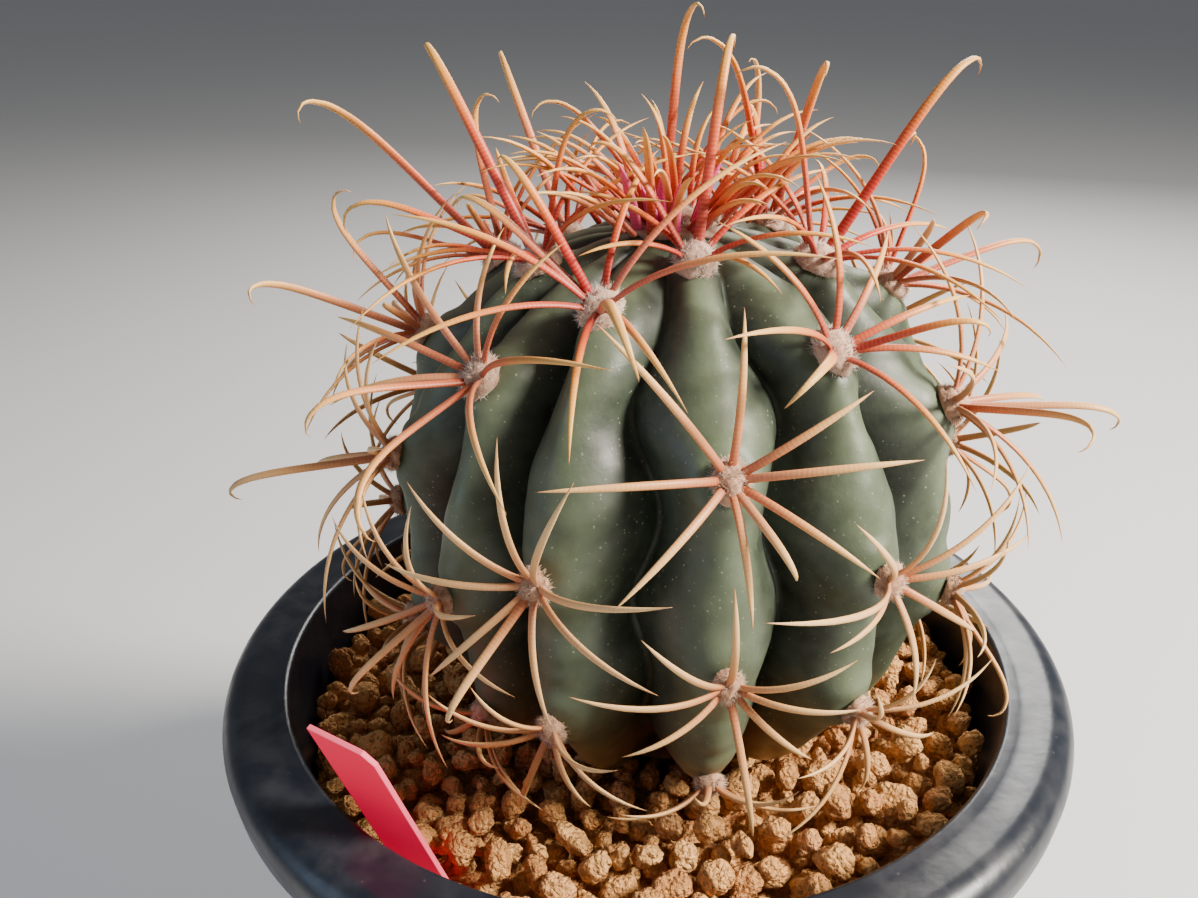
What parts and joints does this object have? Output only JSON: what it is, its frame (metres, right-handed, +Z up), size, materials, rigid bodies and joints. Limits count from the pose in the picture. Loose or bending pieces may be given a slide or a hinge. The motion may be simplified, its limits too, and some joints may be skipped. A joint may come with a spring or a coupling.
{
  "type": "potted ferocactus",
  "caption": "Round ribbed barrel cactus with curved and hooked spines, standing in a gravel bed in a black plastic pot with a plain plant label.",
  "frame": {"origin": "middle of the underside of the pot, on the surface that it stands on", "axes": "+Z up, -Y to the front of the picture, +X to its right"},
  "size_m": [0.15, 0.15, 0.2187],
  "materials": {
    "pot": "black moulded plastic, satin, with dust and fine scuffs",
    "gravel": "rough, matte baked clay granules",
    "label": "satin red plastic strip",
    "flesh": "waxy grey-green skin with pale flecks",
    "young_spines": "satin, pink to crimson, with pale wool",
    "upper_spines": "satin, crimson at the root and straw at the tip, finely banded",
    "lower_spines": "satin, tan to cream, finely banded"
  },
  "bodies": {
    "root": {"pot": "pot", "gravel_bed": "gravel", "label": "label", "stem": "flesh", "crown": "young_spines", "areole_0_0": "upper_spines", "areole_1_0": "upper_spines", "areole_2_0": "upper_spines", "areole_3_0": "upper_spines", "areole_4_0": "upper_spines", "areole_5_0": "upper_spines", "areole_6_0": "upper_spines", "areole_7_0": "upper_spines", "areole_8_0": "upper_spines", "areole_9_0": "upper_spines", "areole_10_0": "upper_spines", "areole_11_0": "upper_spines", "areole_12_0": "upper_spines", "areole_0_1": "lower_spines", "areole_0_2": "lower_spines", "areole_0_3": "lower_spines", "areole_1_1": "lower_spines", "areole_1_2": "lower_spines", "areole_2_1": "lower_spines", "areole_2_2": "lower_spines", "areole_3_1": "lower_spines", "areole_3_2": "lower_spines", "areole_4_1": "lower_spines", "areole_4_2": "lower_spines", "areole_5_1": "lower_spines", "areole_5_2": "lower_spines", "areole_6_1": "lower_spines", "areole_6_2": "lower_spines", "areole_6_3": "lower_spines", "areole_7_1": "lower_spines", "areole_7_2": "lower_spines", "areole_8_1": "lower_spines", "areole_8_2": "lower_spines", "areole_9_1": "lower_spines", "areole_9_2": "lower_spines", "areole_10_1": "lower_spines", "areole_10_2": "lower_spines", "areole_11_1": "lower_spines", "areole_11_2": "lower_spines", "areole_12_1": "lower_spines", "areole_12_2": "lower_spines"}
  },
  "joints": []
}
